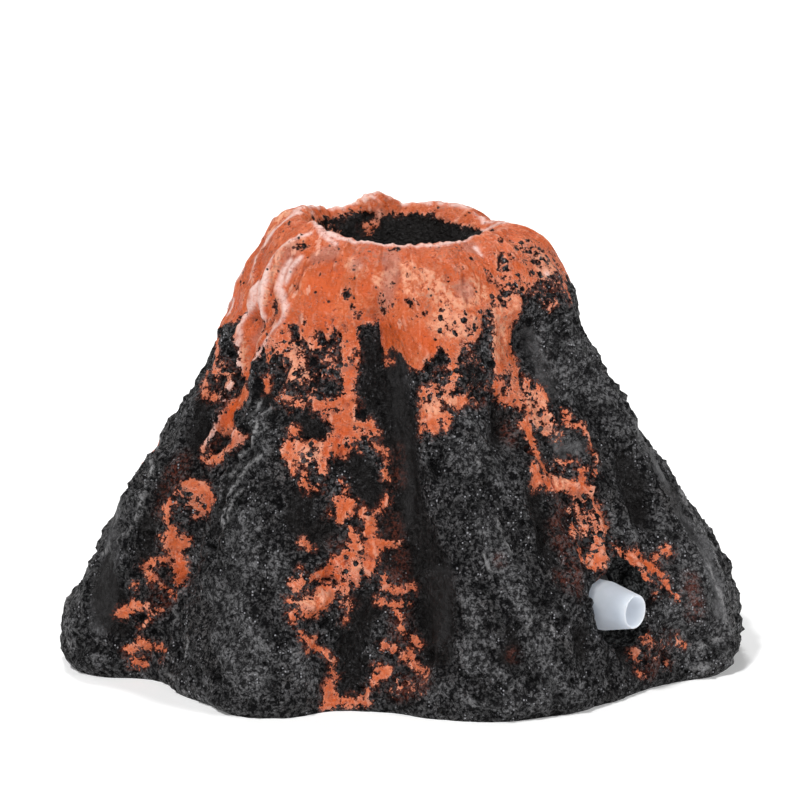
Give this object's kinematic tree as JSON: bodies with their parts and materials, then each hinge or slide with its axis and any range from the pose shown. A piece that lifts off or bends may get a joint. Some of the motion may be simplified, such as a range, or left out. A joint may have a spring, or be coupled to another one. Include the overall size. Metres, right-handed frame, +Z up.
{
  "type": "bubbling volcano ornament",
  "caption": "Hollow resin volcano ornament with an open crater and an air line: push-on side nozzle, inner hose and a lift-out air stone that bubbles up through the crater.",
  "frame": {"origin": "on the ground plane, under the middle of the bounding box", "axes": "+Z up, +X along the longest side, to the right seen from the nozzle side; -Y towards the front, where the nozzle is"},
  "size_m": [0.1004, 0.0774, 0.0667],
  "materials": {
    "cast_resin": "cast mineral-filled resin, black rock texture with glossy orange lava paint",
    "milky_plastic": "smooth translucent milky plastic",
    "black_rubber": "matt moulded rubber",
    "clear_silicone": "cured clear sealant",
    "hose_plastic": "soft clear air hose",
    "stem_plastic": "smooth moulded plastic",
    "sintered_stone": "coarse sintered grain",
    "holder_plastic": "satin moulded plastic",
    "hot_glue": "set hot-melt glue"
  },
  "bodies": {
    "volcano": {"volcano_shell": "cast_resin", "inlet_grommet": "black_rubber", "inlet_sealant": "clear_silicone", "air_hose": "hose_plastic", "stone_holder": "holder_plastic", "holder_glue_front": "hot_glue", "holder_glue_left": "hot_glue", "holder_glue_right": "hot_glue"},
    "stone": {"air_stone": "sintered_stone", "stone_stem": "stem_plastic"},
    "nozzle": {"inlet_nozzle": "milky_plastic"}
  },
  "joints": [
    {"name": "stone_lift", "type": "slide", "parent": "volcano", "child": "stone", "axis": [0, 0, 1], "range_m": [0, 0.06]},
    {"name": "nozzle_pull", "type": "slide", "parent": "volcano", "child": "nozzle", "axis": [0.766, -0.6428, 0], "range_m": [0, 0.024]}
  ]
}
